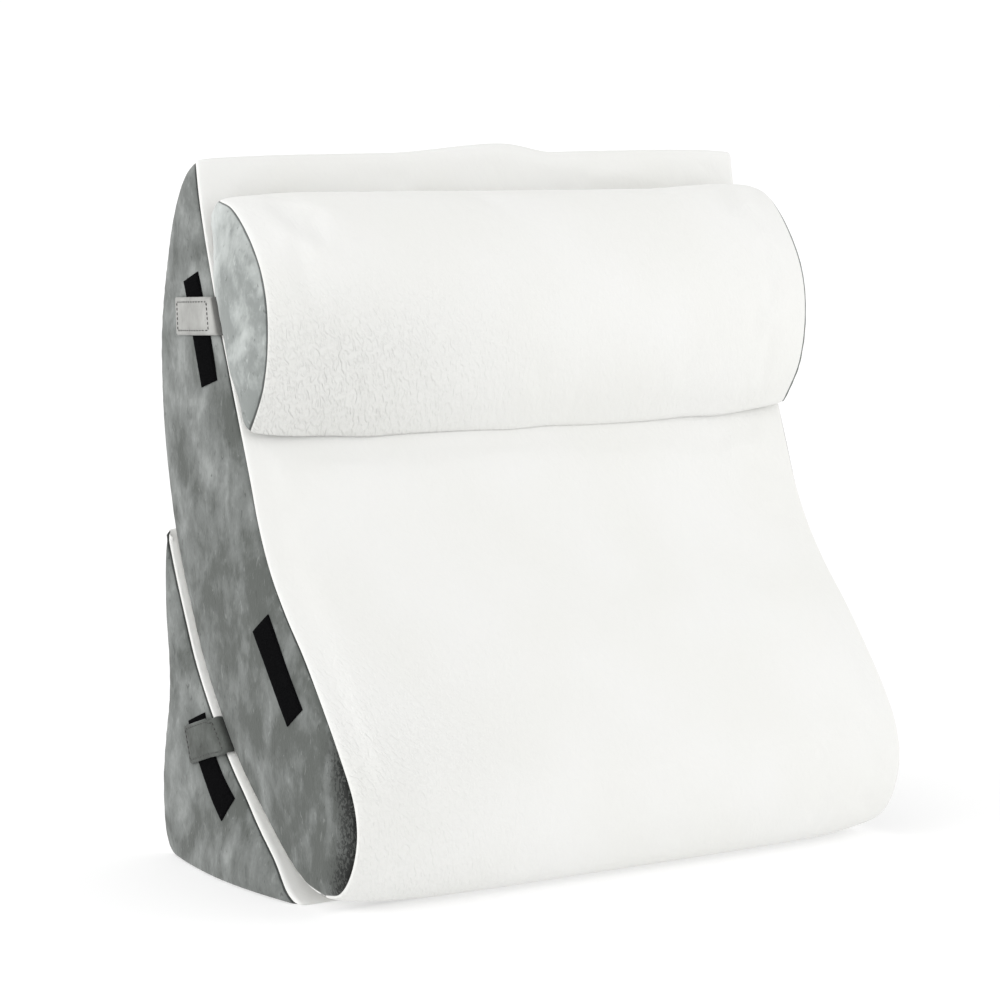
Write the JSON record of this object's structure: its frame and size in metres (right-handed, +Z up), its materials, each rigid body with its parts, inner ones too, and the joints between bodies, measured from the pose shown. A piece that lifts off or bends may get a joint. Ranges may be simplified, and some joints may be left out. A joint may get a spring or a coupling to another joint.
{
  "type": "memory foam wedge pillow",
  "caption": "Foam wedge pillow: a base wedge, a tall S-curved back wedge and a D-shaped roll, in white knit covers with grey velour sides, joined by hook-and-loop straps.",
  "frame": {"origin": "on the floor, below the middle of the whole pillow's bounding box", "axes": "+Z up, the front that a person leans on faces -Y, +X to the right seen from the front"},
  "size_m": [0.651, 0.3684, 0.6681],
  "materials": {
    "cover_knit": "white crinkled double knit, matt",
    "side_velour": "grey brushed velour with a mottled nap",
    "roll_velour": "lighter grey brushed velour with a mottled nap",
    "strap_velour": "folded grey velour with a stitched box",
    "loop_tape": "black woven loop tape with a fuzzy face"
  },
  "bodies": {
    "root": {"base_cushion": "cover_knit", "base_side_left": "side_velour", "base_side_right": "side_velour", "contour_cushion": "cover_knit", "contour_side_left": "side_velour", "contour_side_right": "side_velour", "roll_cushion": "cover_knit", "roll_side_left": "roll_velour", "roll_side_right": "roll_velour", "contour_tape_upper_left": "loop_tape", "contour_tape_upper_right": "loop_tape", "contour_tape_lower_left": "loop_tape", "contour_tape_lower_right": "loop_tape", "base_tape_left": "loop_tape", "base_tape_right": "loop_tape", "roll_strap_left": "strap_velour", "roll_strap_right": "strap_velour", "contour_strap_left": "strap_velour", "contour_strap_right": "strap_velour"}
  },
  "joints": []
}
